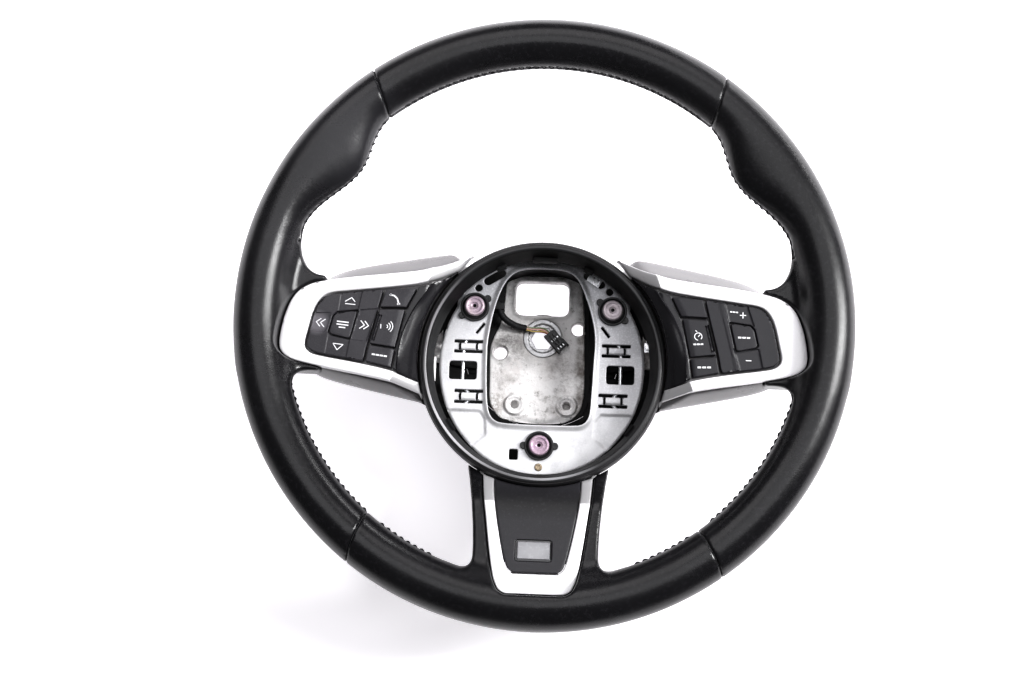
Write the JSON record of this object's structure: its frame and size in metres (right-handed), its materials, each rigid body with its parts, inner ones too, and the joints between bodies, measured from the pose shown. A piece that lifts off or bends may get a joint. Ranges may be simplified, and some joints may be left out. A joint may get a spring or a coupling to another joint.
{
  "type": "car steering wheel",
  "caption": "Leather-covered car steering wheel with thumb grips, switch packs on the side spokes, a forked lower spoke and an open hub with a sprung horn plate.",
  "frame": {"origin": "on the steering axis, at the back face of the hub where it meets the column shoulder", "axes": "+Z along the steering axis towards the driver, +Y to twelve o'clock with the wheels straight ahead, +X to the driver's right"},
  "size_m": [0.37, 0.37, 0.1122],
  "materials": {
    "cast_magnesium": "as-cast, stained",
    "hub_steel": "machined",
    "foam": "moulded foam",
    "leather_black": "fine grain, worn smooth at the grips",
    "cover_plastic": "satin, fine texture",
    "ring_plastic": "textured",
    "silver_paint": "satin silver paint",
    "insert_plastic": "fine texture",
    "badge_black": "gloss",
    "panel_gloss": "semi-gloss",
    "housing_plastic": "moulded",
    "board_green": "circuit board",
    "mat_rubber": "silicone",
    "gimbal_plastic": "natural acetal",
    "key_rubber": "soft-touch with light symbols",
    "plate_zinc": "zinc plated sheet",
    "bushing_plastic": "moulded",
    "spring_steel": "drawn wire",
    "bolt_steel": "zinc plated, faint pink tint",
    "contact_brass": "tarnished",
    "wire_steel": "bright drawn wire",
    "sleeve_black": "cloth tape wound round the wires",
    "wire_pvc": "thin coloured insulation",
    "plug_black": "moulded",
    "label_white": "blank label film"
  },
  "bodies": {
    "wheel": {"armature": "cast_magnesium", "column_socket": "hub_steel", "rim_core": "cast_magnesium", "rim_foam": "foam", "leather_top": "leather_black", "leather_left": "leather_black", "leather_right": "leather_black", "leather_bottom": "leather_black", "back_cover": "cover_plastic", "hub_shroud": "ring_plastic", "bezel_left": "silver_paint", "bezel_right": "silver_paint", "bezel_bottom": "silver_paint", "insert_bottom": "insert_plastic", "badge_plate": "badge_black", "panel_left": "panel_gloss", "panel_right": "panel_gloss", "switch_housing_left": "housing_plastic", "switch_housing_right": "housing_plastic", "switch_base_left": "housing_plastic", "switch_base_right": "housing_plastic", "switch_board_left": "board_green", "switch_board_right": "board_green", "switch_mat_left": "mat_rubber", "switch_mat_right": "mat_rubber", "blank_cap": "key_rubber", "horn_springs": "spring_steel", "guide_bolts": "bolt_steel", "horn_contact": "contact_brass", "harness_sleeve": "sleeve_black", "harness_wires": "wire_pvc", "harness_plug": "plug_black", "harness_clip": "bushing_plastic", "blank_label": "label_white", "ground_clip": "wire_steel", "cover_screws": "hub_steel"},
    "nav_gimbal": {"nav_gimbal": "gimbal_plastic"},
    "nav_pad": {"nav_pad": "key_rubber"},
    "menu_key": {"menu_key": "key_rubber"},
    "phone_key": {"phone_key": "key_rubber"},
    "voice_key": {"voice_key": "key_rubber"},
    "mode_key": {"mode_key": "key_rubber"},
    "cruise_rocker": {"cruise_rocker": "key_rubber"},
    "resume_key": {"resume_key": "key_rubber"},
    "limiter_key": {"limiter_key": "key_rubber"},
    "cancel_key": {"cancel_key": "key_rubber"},
    "horn_plate": {"carrier_plate": "plate_zinc", "plate_bushings": "bushing_plastic", "plate_rivet": "contact_brass", "slot_clip": "wire_steel"},
    "latch_left": {"latch_wire_left": "wire_steel"},
    "latch_right": {"latch_wire_right": "wire_steel"}
  },
  "joints": [
    {"name": "horn_press", "type": "slide", "parent": "wheel", "child": "horn_plate", "axis": [0, 0, -1], "range_m": [0, 0.0015], "stiffness_N_per_m": 9000, "springref_m": -0.001, "deforming": ["horn_springs"]},
    {"name": "latch_left_pull", "type": "slide", "parent": "horn_plate", "child": "latch_left", "axis": [1, 0, 0], "range_m": [0, 0.0025], "stiffness_N_per_m": 2500},
    {"name": "latch_right_pull", "type": "slide", "parent": "horn_plate", "child": "latch_right", "axis": [-1, 0, 0], "range_m": [0, 0.0025], "stiffness_N_per_m": 2500},
    {"name": "nav_rock_updown", "type": "hinge", "parent": "wheel", "child": "nav_gimbal", "pos_m": [-0.1195, -0.008, 0.0825], "axis": [1, 0, 0], "range_deg": [-2.5, 2.5], "stiffness_Nm_per_rad": 0.6},
    {"name": "nav_rock_leftright", "type": "hinge", "parent": "nav_gimbal", "child": "nav_pad", "pos_m": [-0.1195, -0.008, 0.0825], "axis": [0, 1, 0], "range_deg": [-2.5, 2.5], "stiffness_Nm_per_rad": 0.6},
    {"name": "menu_key_press", "type": "slide", "parent": "nav_pad", "child": "menu_key", "axis": [0, 0, -1], "range_m": [0, 0.0008], "stiffness_N_per_m": 900},
    {"name": "phone_key_press", "type": "slide", "parent": "wheel", "child": "phone_key", "axis": [0, 0, -1], "range_m": [0, 0.0008], "stiffness_N_per_m": 900},
    {"name": "voice_key_press", "type": "slide", "parent": "wheel", "child": "voice_key", "axis": [0, 0, -1], "range_m": [0, 0.0008], "stiffness_N_per_m": 900},
    {"name": "mode_key_press", "type": "slide", "parent": "wheel", "child": "mode_key", "axis": [0, 0, -1], "range_m": [0, 0.0008], "stiffness_N_per_m": 900},
    {"name": "cruise_rock", "type": "hinge", "parent": "wheel", "child": "cruise_rocker", "pos_m": [0.1195, -0.008, 0.0825], "axis": [1, 0, 0], "range_deg": [-2.5, 2.5], "stiffness_Nm_per_rad": 0.6},
    {"name": "resume_key_press", "type": "slide", "parent": "cruise_rocker", "child": "resume_key", "axis": [0, 0, -1], "range_m": [0, 0.0008], "stiffness_N_per_m": 900},
    {"name": "limiter_key_press", "type": "slide", "parent": "wheel", "child": "limiter_key", "axis": [0, 0, -1], "range_m": [0, 0.0008], "stiffness_N_per_m": 900},
    {"name": "cancel_key_press", "type": "slide", "parent": "wheel", "child": "cancel_key", "axis": [0, 0, -1], "range_m": [0, 0.0008], "stiffness_N_per_m": 900}
  ]
}
